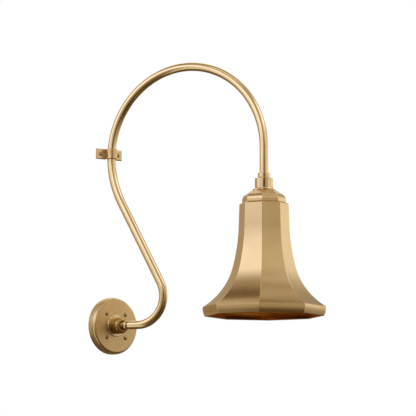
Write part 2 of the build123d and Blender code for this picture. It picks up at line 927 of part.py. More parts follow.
save("end_bush", end_bush(), under_arm)
save("shade_rod", shade_rod(), under_arm)
save("tube_ferrule", tube_ferrule(), under_arm)
save("shade_collar", shade_collar(), under_arm)
save("shade_flange", shade_flange(), under_arm)
save("shade_dome", shade_dome(), under_arm)
save("shade_body", shade_body(), under_arm)
save("shade_rim", shade_rim(), under_arm)
save("shade_washer", shade_washer(), under_arm)
save("shade_nut", shade_nut(), under_arm)
save("socket_cap", socket_cap(), under_arm)
save("socket_body", socket_body(), under_arm)
save("socket_shell", socket_shell(), under_arm)
save("socket_contact", socket_contact(), under_arm)
save("socket_screws", socket_screws(), under_arm)
save("bulb_cap", bulb_cap(), under_arm)
save("bulb_tip", bulb_tip(), under_arm)
save("bulb_glass", bulb_glass(), under_arm)
save("bulb_stem", bulb_stem(), under_arm)
save("bulb_filaments", bulb_filaments(), under_arm)

on_wall = Pos(riser.X, 0, 0)
save("wall_clip", wall_clip(), on_wall)
save("clip_screws", clip_screws(), on_wall * off_wall)
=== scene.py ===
import math

import bpy
import numpy as np
from mathutils import Matrix, Vector


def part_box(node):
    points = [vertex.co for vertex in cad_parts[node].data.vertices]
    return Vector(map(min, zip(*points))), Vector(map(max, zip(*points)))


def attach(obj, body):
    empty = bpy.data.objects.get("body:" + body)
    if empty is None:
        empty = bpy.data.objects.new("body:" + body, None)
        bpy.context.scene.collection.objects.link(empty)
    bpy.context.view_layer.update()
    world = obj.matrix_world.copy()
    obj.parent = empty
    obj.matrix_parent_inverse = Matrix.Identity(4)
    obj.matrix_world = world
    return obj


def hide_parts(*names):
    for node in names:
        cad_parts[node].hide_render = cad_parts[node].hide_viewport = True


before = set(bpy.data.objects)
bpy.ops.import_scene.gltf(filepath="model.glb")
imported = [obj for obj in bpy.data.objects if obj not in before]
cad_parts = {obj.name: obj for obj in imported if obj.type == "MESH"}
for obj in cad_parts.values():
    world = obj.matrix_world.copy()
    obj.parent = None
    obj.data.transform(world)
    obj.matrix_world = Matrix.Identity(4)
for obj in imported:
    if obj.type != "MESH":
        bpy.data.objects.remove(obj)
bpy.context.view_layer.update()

# ---------------------------------------------------------------------------
# Studio. A long lens a little below the shade looks up at the light from its
# left. The room is white, with a pale floor, and a tent of pale and dark
# panels stands round the light for the brass to reflect.
# ---------------------------------------------------------------------------
VIEW_AZIMUTH = math.radians(-39.599)
VIEW_ELEVATION = math.radians(-6.378)
VIEW_FOCAL_PX = 3000.0
METRES_PER_PX = 0.0022418
PLATE_PX = (110.991, 326.405)
LENS_CENTRE_PX = (217.17, 208.0)
FRAME_PX = 416.0
SENSOR_MM = 36.0

to_camera = Vector((
    math.sin(VIEW_AZIMUTH) * math.cos(VIEW_ELEVATION),
    -math.cos(VIEW_AZIMUTH) * math.cos(VIEW_ELEVATION),
    math.sin(VIEW_ELEVATION),
))
camera_right = Vector((math.cos(VIEW_AZIMUTH), math.sin(VIEW_AZIMUTH), 0.0))
camera_up = camera_right.cross(-to_camera)
camera_place = METRES_PER_PX * (
    to_camera * VIEW_FOCAL_PX
    - camera_right * (PLATE_PX[0] - LENS_CENTRE_PX[0])
    + camera_up * (PLATE_PX[1] - LENS_CENTRE_PX[1])
)
camera_data = bpy.data.cameras.new("studio_camera")
camera_data.sensor_width = SENSOR_MM
camera_data.lens = VIEW_FOCAL_PX / FRAME_PX * SENSOR_MM
camera_data.shift_x = 0.5 - LENS_CENTRE_PX[0] / FRAME_PX
camera_data.clip_start = 0.5
camera_data.clip_end = 60.0
camera = bpy.data.objects.new("studio_camera", camera_data)
camera.matrix_world = (
    Matrix.Translation(camera_place)
    @ Matrix((camera_right, camera_up, to_camera)).transposed().to_4x4()
)
bpy.context.scene.collection.objects.link(camera)
bpy.context.scene.camera = camera
bpy.context.scene.view_settings.view_transform = "Standard"

ROOM_STRENGTH = 0.85
world = bpy.data.worlds.new("white_room")
world.use_nodes = True
bpy.context.scene.world = world
room = world.node_tree
background = room.nodes["Background"]
background.inputs["Color"].default_value = (1.0, 1.0, 1.0, 1.0)
ray = room.nodes.new("ShaderNodeLightPath")
seen = room.nodes.new("ShaderNodeMath")
seen.operation = "MAXIMUM"
shown = room.nodes.new("ShaderNodeMath")
shown.operation = "MAXIMUM"
strength = room.nodes.new("ShaderNodeMapRange")
strength.inputs["To Min"].default_value = ROOM_STRENGTH
room.links.new(ray.outputs["Is Camera Ray"], seen.inputs[0])
room.links.new(ray.outputs["Is Glossy Ray"], seen.inputs[1])
room.links.new(seen.outputs[0], shown.inputs[0])
room.links.new(ray.outputs["Is Transmission Ray"], shown.inputs[1])
room.links.new(shown.outputs[0], strength.inputs["Value"])
room.links.new(strength.outputs[0], background.inputs["Strength"])

FLOOR_LEVEL = -0.75
FLOOR_REACH = 30.0
floor_mesh = bpy.data.meshes.new("studio_floor")
floor_mesh.from_pydata(
    [
        (x * FLOOR_REACH, y * FLOOR_REACH, FLOOR_LEVEL)
        for x, y in ((-1, -1), (1, -1), (1, 1), (-1, 1))
    ],
    [], [(0, 1, 2, 3)],
)
floor = bpy.data.objects.new("studio_floor", floor_mesh)
floor_paint = bpy.data.materials.new("pale_floor")
floor_paint.use_nodes = True
floor_shader = floor_paint.node_tree.nodes["Principled BSDF"]
floor_shader.inputs["Base Color"].default_value = (0.88, 0.88, 0.87, 1.0)
floor_shader.inputs["Roughness"].default_value = 0.9
floor_mesh.materials.append(floor_paint)
bpy.context.scene.collection.objects.link(floor)

TENT_CENTRE = np.array([0.05, -0.2, 0.27])
TENT_RADIUS = 2.6
TENT_ABOVE_FLOOR = 0.02
TENT_STEPS = 120
TENT_POLE = 89.9
LEAST_FALL = 1e-3
ROOM_TONE = (0.44, 0.38, 0.28)
PANELS = (
    # degrees right of the camera, degrees up, half width, half height, soft edge, colour
    (180.0, 0.0, 45.0, 25.0, 20.0, (0.49, 0.41, 0.28)),  # behind the light
    (-80.0, -60.0, 75.0, 38.0, 20.0, (0.13, 0.085, 0.035)),  # dark floor on the left
    (80.0, -60.0, 75.0, 38.0, 20.0, (0.10, 0.065, 0.025)),  # dark floor on the right
    (180.0, -60.0, 50.0, 38.0, 20.0, (0.12, 0.08, 0.035)),  # dark floor behind
    (-70.0, -28.0, 10.0, 38.0, 8.0, (1.00, 0.95, 0.84)),  # tall strip for the level tube
    (-55.0, 25.0, 47.0, 16.0, 20.0, (1.34, 1.36, 1.56)),  # large cool panel on the left
    (42.0, 22.0, 18.0, 12.0, 14.0, (0.70, 0.64, 0.53)),  # dim panel for the right front side
    (74.0, 7.0, 22.0, 13.0, 12.0, (0.84, 0.79, 0.68)),  # panel for the plate's face
    (66.0, 24.0, 11.0, 10.0, 8.0, (1.05, 1.05, 1.08)),  # short strip for the dropping tube
    (84.0, 38.0, 30.0, 12.0, 10.0, (1.50, 1.50, 1.56)),  # bright panel over the plate's panel
    (123.0, 7.0, 25.0, 12.0, 16.0, (1.05, 1.00, 0.93)),  # panel for the shade's far right side
    (-178.0, 32.0, 22.0, 8.0, 10.0, (1.60, 1.62, 1.72)),  # panel for the top of the hub
    (-130.0, 66.0, 36.0, 12.0, 16.0, (0.18, 0.12, 0.05)),  # dark ceiling for the left of the flare
    (-166.0, 56.0, 20.0, 13.0, 10.0, (0.90, 0.84, 0.72)),  # panel for the dome's slope
    (-20.0, 72.0, 42.0, 8.0, 8.0, (1.10, 1.04, 0.92)),  # ceiling in front
    (104.0, 69.0, 36.0, 9.0, 10.0, (0.70, 0.66, 0.58)),  # ceiling on the right
    (5.0, -38.0, 13.0, 54.0, 6.0, (0.04, 0.02, 0.006)),  # flag for the dark streak in the collar
)


def tent_light(turn, rise):
    """Room tone with panels laid over it. A panel covers by the product of two smooth steps, one
    across and one up, that fall from 1 to 0 over its soft edge."""
    colour = np.zeros(turn.shape + (3,)) + ROOM_TONE
    for across, up, half_width, half_height, soft, tone in PANELS:
        off_side = np.abs((turn - across + 180.0) % 360.0 - 180.0) - half_width
        off_level = np.abs(rise - up) - half_height
        cover = np.ones(turn.shape)
        for off in (off_side, off_level):
            fade = np.clip(0.5 - off / soft, 0.0, 1.0)
            cover = cover * fade * fade * (3.0 - 2.0 * fade)
        colour = colour * (1.0 - cover[..., None]) + np.array(tone) * cover[..., None]
    return colour


turn, rise = np.meshgrid(
    np.linspace(-180.0, 180.0, 2 * TENT_STEPS + 1),
    np.linspace(-TENT_POLE, TENT_POLE, TENT_STEPS + 1),
)
bearing = VIEW_AZIMUTH + np.radians(turn)
level = np.radians(rise)
toward = np.stack([
    np.sin(bearing) * np.cos(level), -np.cos(bearing) * np.cos(level), np.sin(level)
], -1)
# a ray from the tent's centre ends on the sphere or just over the floor, whichever is nearer
to_floor = (TENT_CENTRE[2] - FLOOR_LEVEL - TENT_ABOVE_FLOOR) / np.maximum(-toward[..., 2], LEAST_FALL)
tent_points = TENT_CENTRE + toward * np.minimum(TENT_RADIUS, to_floor)[..., None]
tent_index = np.arange(turn.size).reshape(turn.shape)
tent_faces = np.stack([
    tent_index[:-1, :-1], tent_index[1:, :-1], tent_index[1:, 1:], tent_index[:-1, 1:]
], -1).reshape(-1, 4)
tent_mesh = bpy.data.meshes.new("studio_tent")
tent_mesh.from_pydata(tent_points.reshape(-1, 3).tolist(), [], tent_faces.tolist())
tent_colour = np.concatenate([tent_light(turn, rise), np.ones(turn.shape + (1,))], -1)
tent_mesh.color_attributes.new("panel", "FLOAT_COLOR", "POINT").data.foreach_set(
    "color", tent_colour.reshape(-1)
)
tent = bpy.data.objects.new("studio_tent", tent_mesh)
tent_cloth = bpy.data.materials.new("tent_cloth")
tent_cloth.use_nodes = True
cloth = tent_cloth.node_tree
cloth.nodes.remove(cloth.nodes["Principled BSDF"])
panel_colour = cloth.nodes.new("ShaderNodeVertexColor")
panel_colour.layer_name = "panel"
glow = cloth.nodes.new("ShaderNodeEmission")
cloth.links.new(panel_colour.outputs["Color"], glow.inputs["Color"])
cloth.links.new(glow.outputs[0], cloth.nodes["Material Output"].inputs["Surface"])
tent_mesh.materials.append(tent_cloth)
bpy.context.scene.collection.objects.link(tent)
tent.visible_camera = False
tent.visible_diffuse = False
tent.visible_transmission = False
tent.visible_shadow = False
tent.visible_volume_scatter = False

LAMP_PLACE = Vector((-1.4, -2.2, 2.2))
LAMP_AIM = Vector((0.05, -0.2, 0.2))
LAMP_SIZE = 1.8
LAMP_POWER = 26.0
lamp_data = bpy.data.lights.new("soft_lamp", "AREA")
lamp_data.size = LAMP_SIZE
lamp_data.energy = LAMP_POWER
lamp = bpy.data.objects.new("soft_lamp", lamp_data)
lamp.matrix_world = (
    Matrix.Translation(LAMP_PLACE) @ (LAMP_AIM - LAMP_PLACE).to_track_quat("-Z", "Y").to_matrix().to_4x4()
)
lamp.visible_glossy = False
bpy.context.scene.collection.objects.link(lamp)


# ---------------------------------------------------------------------------
# Wall bracket with its four tapped posts and the ground screw: pressed steel,
# zinc plated and a little cloudy, screwed to the wall box behind the plate.
# ---------------------------------------------------------------------------
def new_finish(name):
    """Empty material; returns it with its node tree and its shader."""
    material = bpy.data.materials.new(name)
    material.use_nodes = True
    tree = material.node_tree
    return material, tree, tree.nodes["Principled BSDF"]


def put(tree, kind, settings=None, **sockets):
    """Adds a node and sets its plain settings, then its input sockets: an output is linked, and any
    other value is set. A socket's name has _ for each space, or is _ and its number."""
    node = tree.nodes.new(kind)
    for key, value in (settings or {}).items():
        setattr(node, key, value)
    for key, value in sockets.items():
        socket = node.inputs[int(key[1:])] if key[0] == "_" else node.inputs[key.replace("_", " ")]
        if isinstance(value, bpy.types.NodeSocket):
            tree.links.new(value, socket)
        else:
            socket.default_value = value
    return node


def new_group(name, inputs, outputs):
    """Shader node group with named inputs and outputs; returns it with the sockets of its input
    node and of its output node."""
    group = bpy.data.node_groups.new(name, "ShaderNodeTree")
    kinds = {"Vector": "NodeSocketVector", "Colour": "NodeSocketColor", "Value": "NodeSocketFloat"}
    for label, kind, value in inputs:
        socket = group.interface.new_socket(label, in_out="INPUT", socket_type=kinds[kind])
        if value is not None:
            socket.default_value = value
    for label, kind in outputs:
        group.interface.new_socket(label, in_out="OUTPUT", socket_type=kinds[kind])
    return group, group.nodes.new("NodeGroupInput").outputs, group.nodes.new("NodeGroupOutput").inputs


def use_group(tree, group, **sockets):
    """Places a node group in a material with its own values; returns its outputs."""
    return put(tree, "ShaderNodeGroup", {"node_tree": group}, **sockets).outputs


def maths(tree, operation, *values, clamp=False):
    """One Math node over values or outputs; returns its output."""
    sockets = {"_%d" % place: value for place, value in enumerate(values)}
    return put(tree, "ShaderNodeMath", {"operation": operation, "use_clamp": clamp}, **sockets).outputs[0]


def blend_colours(tree, share, first, second):
    """Mixes two colours by a share; returns the output."""
    node = put(tree, "ShaderNodeMix", {"data_type": "RGBA"})
    for place, value in ((0, share), (6, first), (7, second)):
        if isinstance(value, bpy.types.NodeSocket):
            tree.links.new(value, node.inputs[place])
        else:
            node.inputs[place].default_value = value
    return node.outputs[2]


def place_on_object(tree, centre=(0.0, 0.0, 0.0), turned=(0.0, 0.0, 0.0)):
    """Object coordinates about a centre, in axes that are turned with the piece."""
    place = put(tree, "ShaderNodeTexCoord")
    return put(
        tree, "ShaderNodeMapping", {"vector_type": "TEXTURE"},
        Vector=place.outputs["Object"], Location=centre, Rotation=turned,
    ).outputs[0]


def finish_nodes(material, *names):
    """Puts a finish on CAD pieces."""
    for name in names:
        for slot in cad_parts[name].material_slots:
            slot.material = material


SPECK_DEPTH = 0.00005
SPECK_SHARE = 0.35

clouds, given, result = new_group(
    "clouds",
    (
        ("Place", "Vector", None), ("Colour A", "Colour", (0.5, 0.5, 0.5, 1.0)),
        ("Colour B", "Colour", (0.4, 0.4, 0.4, 1.0)), ("Roughness A", "Value", 0.3),
        ("Roughness B", "Value", 0.5), ("Patches", "Value", 60.0), ("Specks", "Value", 900.0),
    ),
    (("Colour", "Colour"), ("Roughness", "Value"), ("Height", "Value")),
)
# share of Colour B = soft noise with some fine noise added, stretched over its usual range
patch_noise = put(
    clouds, "ShaderNodeTexNoise",
    Vector=given["Place"], Scale=given["Patches"], Detail=3.0, Roughness=0.6,
)
speck_noise = put(
    clouds, "ShaderNodeTexNoise", Vector=given["Place"], Scale=given["Specks"], Detail=2.0
)
both = maths(clouds, "MULTIPLY_ADD", speck_noise.outputs[0], SPECK_SHARE, patch_noise.outputs[0])
share = put(clouds, "ShaderNodeMapRange", Value=both, From_Min=0.45, From_Max=0.9).outputs[0]
rough = put(
    clouds, "ShaderNodeMapRange",
    Value=share, To_Min=given["Roughness A"], To_Max=given["Roughness B"],
)
clouds.links.new(
    blend_colours(clouds, share, given["Colour A"], given["Colour B"]), result["Colour"]
)
clouds.links.new(rough.outputs[0], result["Roughness"])
clouds.links.new(speck_noise.outputs[0], result["Height"])


def cloudy_finish(name, metallic, relief, **look):
    """Finish of two like colours in soft patches with fine specks, on Object coordinates."""
    material, tree, shader = new_finish(name)
    skin = use_group(tree, clouds, Place=place_on_object(tree), **look)
    tree.links.new(skin["Colour"], shader.inputs["Base Color"])
    tree.links.new(skin["Roughness"], shader.inputs["Roughness"])
    bumps = put(
        tree, "ShaderNodeBump", Strength=relief, Distance=SPECK_DEPTH, Height=skin["Height"]
    )
    tree.links.new(bumps.outputs[0], shader.inputs["Normal"])
    shader.inputs["Metallic"].default_value = metallic
    return material, tree, shader


zinc, _, _ = cloudy_finish(
    "zinc_plated_steel", 1.0, 0.25,
    Colour_A=(0.62, 0.62, 0.60, 1.0), Colour_B=(0.44, 0.45, 0.45, 1.0),
    Roughness_A=0.32, Roughness_B=0.5, Patches=140.0, Specks=1500.0,
)
finish_nodes(
    zinc, "mounting_bracket", "bracket_posts", "ground_screw", "terminal_screws",
    "hub_rod", "hub_washer", "shade_rod", "shade_washer", "socket_screws",
)

# ---------------------------------------------------------------------------
# Terminal block and leads: the block is moulded white nylon and hangs behind
# the plate; the leads are round, in black sleeving, and run through the hub
# and the arm.
# ---------------------------------------------------------------------------
block_nylon, _, _ = cloudy_finish(
    "moulded_white_nylon", 0.0, 0.15,
    Colour_A=(0.80, 0.79, 0.75, 1.0), Colour_B=(0.72, 0.71, 0.66, 1.0),
    Roughness_A=0.42, Roughness_B=0.55, Patches=90.0, Specks=2400.0,
)
finish_nodes(block_nylon, "terminal_block", "swivel_seat")

lead_sleeve, _, _ = cloudy_finish(
    "black_lead_sleeve", 0.0, 0.2,
    Colour_A=(0.030, 0.028, 0.026, 1.0), Colour_B=(0.055, 0.052, 0.048, 1.0),
    Roughness_A=0.5, Roughness_B=0.65, Patches=200.0, Specks=3000.0,
)
finish_nodes(lead_sleeve, "supply_lead", "lamp_lead")

# ---------------------------------------------------------------------------
# Backplate: a cup spun from brass sheet, with a straight band, a small step
# and a bowed shoulder round its flat face. Satin finished on the lathe, so the
# lines run round it, then left to darken a little. Four slotted brass screws
# with low domed heads hold it to the bracket's posts.
# ---------------------------------------------------------------------------
turned_lines, given, result = new_group(
    "turned_lines",
    (("Place", "Vector", None), ("Across", "Value", 2500.0), ("Around", "Value", 1.5)),
    (("Lines", "Value"),),
)
# noise at radius plus height times Across, with the direction round the axis times Around
apart = put(turned_lines, "ShaderNodeSeparateXYZ", _0=given["Place"]).outputs
flat = put(turned_lines, "ShaderNodeCombineXYZ", X=apart["X"], Y=apart["Y"]).outputs[0]
radius = put(turned_lines, "ShaderNodeVectorMath", {"operation": "LENGTH"}, _0=flat).outputs["Value"]
aside = put(turned_lines, "ShaderNodeVectorMath", {"operation": "NORMALIZE"}, _0=flat).outputs[0]
aside = put(
    turned_lines, "ShaderNodeVectorMath", {"operation": "SCALE"}, _0=aside, Scale=given["Around"]
).outputs[0]
reach = maths(turned_lines, "ADD", radius, apart["Z"])
reach = maths(turned_lines, "MULTIPLY", reach, given["Across"])
along = put(turned_lines, "ShaderNodeCombineXYZ", Z=reach).outputs[0]
where = put(turned_lines, "ShaderNodeVectorMath", {"operation": "ADD"}, _0=aside, _1=along)
ring_noise = put(
    turned_lines, "ShaderNodeTexNoise", Vector=where.outputs[0], Scale=1.0, Detail=3.0, Roughness=0.65
)
turned_lines.links.new(ring_noise.outputs[0], result["Lines"])

brass_skin, given, result = new_group(
    "brass_skin",
    (
        ("Place", "Vector", None), ("Lines", "Value", 0.5), ("Worn", "Value", 0.0),
        ("Bright", "Colour", (0.83, 0.61, 0.33, 1.0)), ("Dull", "Colour", (0.60, 0.40, 0.18, 1.0)),
        ("Tarnish", "Value", 0.4), ("Patches", "Value", 30.0), ("Line contrast", "Value", 0.3),
        ("Roughness A", "Value", 0.25), ("Roughness B", "Value", 0.36),
    ),
    (("Colour", "Colour"), ("Roughness", "Value"), ("Height", "Value")),
)
# dullness = tarnish patches + line contrast * (lines - 1/2) - wear; it mixes Bright into Dull
patch_noise = put(
    brass_skin, "ShaderNodeTexNoise",
    Vector=given["Place"], Scale=given["Patches"], Detail=4.0, Roughness=0.55,
)
patchy = put(
    brass_skin, "ShaderNodeMapRange", Value=patch_noise.outputs[0], From_Min=0.35, From_Max=0.75
).outputs[0]
patchy = maths(brass_skin, "MULTIPLY", patchy, given["Tarnish"])
streaks = maths(brass_skin, "SUBTRACT", given["Lines"], 0.5)
streaks = maths(brass_skin, "MULTIPLY_ADD", streaks, given["Line contrast"], patchy)
dull = maths(brass_skin, "SUBTRACT", streaks, given["Worn"], clamp=True)
rough = put(
    brass_skin, "ShaderNodeMapRange",
    Value=given["Lines"], To_Min=given["Roughness A"], To_Max=given["Roughness B"],
)
brass_skin.links.new(
    blend_colours(brass_skin, dull, given["Bright"], given["Dull"]), result["Colour"]
)
brass_skin.links.new(rough.outputs[0], result["Roughness"])
brass_skin.links.new(given["Lines"], result["Height"])

OUT_OF_WALL = (math.radians(90.0), 0.0, 0.0)


def lay_brass(tree, shader, skin, microns):
    """Leads the brass skin into the shader as a metal, with its lines as a relief of a few microns."""
    tree.links.new(skin["Colour"], shader.inputs["Base Color"])
    tree.links.new(skin["Roughness"], shader.inputs["Roughness"])
    lines = put(tree, "ShaderNodeBump", Distance=microns * 1e-6, Height=skin["Height"])
    tree.links.new(lines.outputs[0], shader.inputs["Normal"])
    shader.inputs["Metallic"].default_value = 1.0


def turned_brass(name, centre, turned, microns=6.0, across=2500.0, around=1.5, **look):
    """Brass finished on a lathe: its lines run round the Z axis of the turned place."""
    material, tree, shader = new_finish(name)
    place = place_on_object(tree, centre, turned)
    lines = use_group(tree, turned_lines, Place=place, Across=across, Around=around)["Lines"]
    lay_brass(tree, shader, use_group(tree, brass_skin, Place=place, Lines=lines, **look), microns)
    return material


plate_brass = turned_brass(
    "spun_plate_brass", (0.0, 0.0, 0.0), OUT_OF_WALL,
    microns=80.0, Bright=(0.80, 0.60, 0.33, 1.0), Dull=(0.62, 0.43, 0.21, 1.0),
    Tarnish=0.35, Patches=26.0, Line_contrast=0.3, Roughness_A=0.28, Roughness_B=0.38,
)
finish_nodes(plate_brass, "backplate")

# the screw heads are coloured far darker than the brass: painted shade, standing for the dark
# surroundings their domes reflect
shaded_screw_brass = turned_brass(
    "slotted_screw_brass", (0.0, 0.0, 0.0), OUT_OF_WALL,
    Bright=(0.46, 0.33, 0.18, 1.0), Dull=(0.28, 0.19, 0.09, 1.0),
    Tarnish=0.6, Patches=300.0, Line_contrast=0.3, Roughness_A=0.28, Roughness_B=0.4,
)
finish_nodes(shaded_screw_brass, "plate_screws", "clip_screws", "pivot_screws")

# ---------------------------------------------------------------------------
# Hub: a thin polished flange and a barrel with a rounded nose, turned from brass bar; the barrel is
# painted darker as shade and the flange lighter as a highlight. A hollow screw, a washer and a nut behind
# the plate hold them.
# ---------------------------------------------------------------------------
# the barrel's colours are darker than the brass: painted shade
shaded_hub_brass = turned_brass(
    "turned_hub_brass", (0.0, 0.0, 0.0), OUT_OF_WALL,
    Bright=(0.60, 0.40, 0.15, 1.0), Dull=(0.40, 0.25, 0.09, 1.0),
    Tarnish=0.45, Patches=60.0, Line_contrast=0.3, Roughness_A=0.24, Roughness_B=0.36,
)
finish_nodes(shaded_hub_brass, "hub_body")

# the flange is polished, and its lighter colour is a painted highlight
lit_flange_brass = turned_brass(
    "polished_flange_brass", (0.0, 0.0, 0.0), OUT_OF_WALL,
    Bright=(0.93, 0.77, 0.50, 1.0), Dull=(0.76, 0.57, 0.30, 1.0),
    Tarnish=0.3, Patches=60.0, Line_contrast=0.2, Roughness_A=0.14, Roughness_B=0.22,
)
finish_nodes(lit_flange_brass, "hub_flange")

bar_brass = turned_brass(
    "plain_bar_brass", (0.0, 0.0, 0.0), OUT_OF_WALL,
    Bright=(0.86, 0.68, 0.36, 1.0), Dull=(0.70, 0.52, 0.25, 1.0),
    Tarnish=0.3, Patches=90.0, Line_contrast=0.3, Roughness_A=0.2, Roughness_B=0.34,
)
finish_nodes(bar_brass, "hub_nut", "hub_plug")

# ---------------------------------------------------------------------------
# Swivel stem and collar: a ball, neck and spigot turned in one piece, with a
# stepped ring in front of the hub's nose. They turn with the arm.
# ---------------------------------------------------------------------------
PIVOT = np.array([0.0, -0.036, 0.0])
ARM_YAW = math.radians(22.5)
stem_brass = turned_brass(
    "turned_stem_brass", tuple(PIVOT), (math.radians(90.0), 0.0, ARM_YAW),
    Bright=(0.80, 0.59, 0.31, 1.0), Dull=(0.56, 0.37, 0.18, 1.0),
    Tarnish=0.5, Patches=90.0, Line_contrast=0.3, Roughness_A=0.2, Roughness_B=0.3,
)
finish_nodes(stem_brass, "swivel_stem", "arm_collar")

# ---------------------------------------------------------------------------
# Arm: one 19 mm brass tube, bent in one plane through four bends, then polished
# by hand along its length. The stem's spigot and the end bush hold its ends.
# ---------------------------------------------------------------------------
ARM_OUT = np.array([math.sin(ARM_YAW), -math.cos(ARM_YAW), 0.0])
UP = np.array([0.0, 0.0, 1.0])
TUBE_RADIUS = 0.009525
TUBE_WALL = 0.0015
TUBE_LIP = 0.0004
TUBE_START = 0.0206
TUBE_OFF_WALL = 0.0122
LEVEL_RUN = 0.0245
LOW_BEND_RADIUS = 0.063
WALL_BEND_RADIUS = 0.216
TOP_BEND_RADIUS = 0.1925
DROP_RUN = 0.065
LEAN = math.radians(28.7)
TUBE_STEP = 0.004
TUBE_SIDES = 56
LIP_STEPS = 4

riser_out = (TUBE_OFF_WALL + PIVOT[1]) / math.cos(ARM_YAW)
low_bend_out = TUBE_START + LEVEL_RUN + LOW_BEND_RADIUS * math.cos(LEAN)
slant_run = (low_bend_out - riser_out - WALL_BEND_RADIUS * (1 - math.cos(LEAN))) / math.sin(LEAN)
shade_centre = PIVOT + ARM_OUT * (riser_out + 2 * TOP_BEND_RADIUS)


def follow(start, heading, runs, step):
    """Points and headings of a flat line of straight runs and arcs. A run is its length and its
    turn: along an arc the heading grows evenly, and the place is the radius times the change of
    the sine and cosine of the heading."""
    place = np.array(start)
    points, headings = [place[None]], [np.array([heading])]
    for length, turn in runs:
        share = np.linspace(0.0, 1.0, max(2, math.ceil(length / step) + 1))[1:]
        angle = heading + turn * share
        if turn:
            ahead = np.stack([np.sin(angle) - math.sin(heading), math.cos(heading) - np.cos(angle)], -1)
            ahead = ahead * length / turn
        else:
            ahead = share[:, None] * length * np.array([math.cos(heading), math.sin(heading)])
        points.append(place + ahead)
        headings.append(angle)
        place = points[-1][-1]
        heading += turn
    return np.concatenate(points), np.concatenate(headings)


def closed_surface(name, grid, normals, around, along, **values):
    """Mesh over a grid of points that closes on itself both ways. around and along are the distances
    at the grid's lines, one more than it has, for the UV map. Values are kept as point attributes."""
    rows, sides = grid.shape[:2]
    index = np.arange(rows * sides).reshape(rows, sides)
    next_side = np.roll(index, -1, axis=1)
    quads = np.stack([index, next_side, np.roll(next_side, -1, axis=0), np.roll(index, -1, axis=0)], -1)
    mesh = bpy.data.meshes.new(name)
    mesh.vertices.add(rows * sides)
    mesh.vertices.foreach_set("co", grid.reshape(-1))
    mesh.loops.add(quads.size)
    mesh.loops.foreach_set("vertex_index", quads.reshape(-1))
    mesh.polygons.add(rows * sides)
    mesh.polygons.foreach_set("loop_start", np.arange(0, quads.size, 4))
    mesh.polygons.foreach_set("loop_total", np.full(rows * sides, 4))
    mesh.update(calc_edges=True)
    uv = np.zeros((rows, sides, 4, 2))
    uv[..., 0] = np.stack([around[:-1], around[1:], around[1:], around[:-1]], -1)
    uv[..., 1] = np.stack([along[:-1], along[:-1], along[1:], along[1:]], -1)[:, None]
    mesh.uv_layers.new(name="surface").data.foreach_set("uv", uv.reshape(-1))
    for label, value in values.items():
        layer = mesh.attributes.new(label, "FLOAT", "POINT")
        layer.data.foreach_set("value", np.broadcast_to(value, (rows, sides)).reshape(-1))
    mesh.polygons.foreach_set("use_smooth", np.ones(rows * sides, dtype=bool))
    mesh.normals_split_custom_set_from_vertices(normals.reshape(-1, 3).tolist())
    piece = bpy.data.objects.new(name, mesh)
    bpy.context.scene.collection.objects.link(piece)
    return piece


def bent_tube(name):
    """A circle carried along the arm's line: middle + radius * (cos * in-plane normal + sin * side).
    Rows run out along the outside and back along the bore, with a quarter-round lip at each edge."""
    line, heading = follow((TUBE_START, 0.0), 0.0, (
        (LEVEL_RUN, 0.0),
        (LOW_BEND_RADIUS * (math.pi / 2 + LEAN), math.pi / 2 + LEAN),
        (slant_run, 0.0),
        (WALL_BEND_RADIUS * LEAN, -LEAN),
        (TOP_BEND_RADIUS * math.pi, -math.pi),
        (DROP_RUN, 0.0),
    ), TUBE_STEP)
    bore = TUBE_RADIUS - TUBE_WALL
    quarter = np.linspace(0.0, math.pi / 2, LIP_STEPS + 1)
    rising = TUBE_LIP * (1 - np.sin(quarter))
    falling = TUBE_LIP * (1 - np.cos(quarter))
    out = np.arange(1, len(line) - 1)
    back = out[::-1]
    start = np.zeros(LIP_STEPS + 1, dtype=int)
    end = np.full(LIP_STEPS + 1, len(line) - 1)
    flat = np.zeros(len(out))
    # each part of the profile: which point of the line, how far on, its radius, and its slant
    parts = (
        (start, falling, TUBE_RADIUS - rising, quarter - math.pi / 2),
        (out, flat, TUBE_RADIUS + flat, flat),
        (end, -rising, TUBE_RADIUS - falling, quarter),
        (end, -falling, bore + rising, quarter + math.pi / 2),
        (back, flat, bore + flat, math.pi + flat),
        (start, rising, bore + falling, quarter + math.pi),
    )
    which, ahead, reach, slant = (np.concatenate(column) for column in zip(*parts))
    angle = heading[which]
    tangent = np.cos(angle)[:, None] * ARM_OUT + np.sin(angle)[:, None] * UP
    upright = -np.sin(angle)[:, None] * ARM_OUT + np.cos(angle)[:, None] * UP
    middle = PIVOT + line[which, :1] * ARM_OUT + line[which, 1:] * UP + ahead[:, None] * tangent
    spin = np.linspace(0.0, 2 * math.pi, TUBE_SIDES + 1)
    around_middle = np.stack([np.cos(spin[:-1]), np.sin(spin[:-1])], -1)
    radial = around_middle[:, :1] * upright[:, None] + around_middle[:, 1:] * np.cross(ARM_OUT, UP)
    grid = middle[:, None] + reach[:, None, None] * radial
    normals = np.cos(slant)[:, None, None] * radial + np.sin(slant)[:, None, None] * tangent[:, None]
    hops = np.linalg.norm(np.diff(grid[:, 0], axis=0, append=grid[:1, 0]), axis=1)
    return closed_surface(
        name, grid, normals, spin * TUBE_RADIUS, np.concatenate([[0.0], np.cumsum(hops)])
    )


drawn_lines, given, result = new_group(
    "drawn_lines",
    (("Surface", "Vector", None), ("Across", "Value", 2500.0), ("Along", "Value", 12.0)),
    (("Lines", "Value"),),
)
# noise that is fine across the surface map's U and long along its V
apart = put(drawn_lines, "ShaderNodeSeparateXYZ", _0=given["Surface"]).outputs
where = put(
    drawn_lines, "ShaderNodeCombineXYZ",
    X=maths(drawn_lines, "MULTIPLY", apart["X"], given["Across"]),
    Y=maths(drawn_lines, "MULTIPLY", apart["Y"], given["Along"]),
)
line_noise = put(
    drawn_lines, "ShaderNodeTexNoise",
    Vector=where.outputs[0], Scale=1.0, Detail=3.0, Roughness=0.6,
)
drawn_lines.links.new(line_noise.outputs[0], result["Lines"])

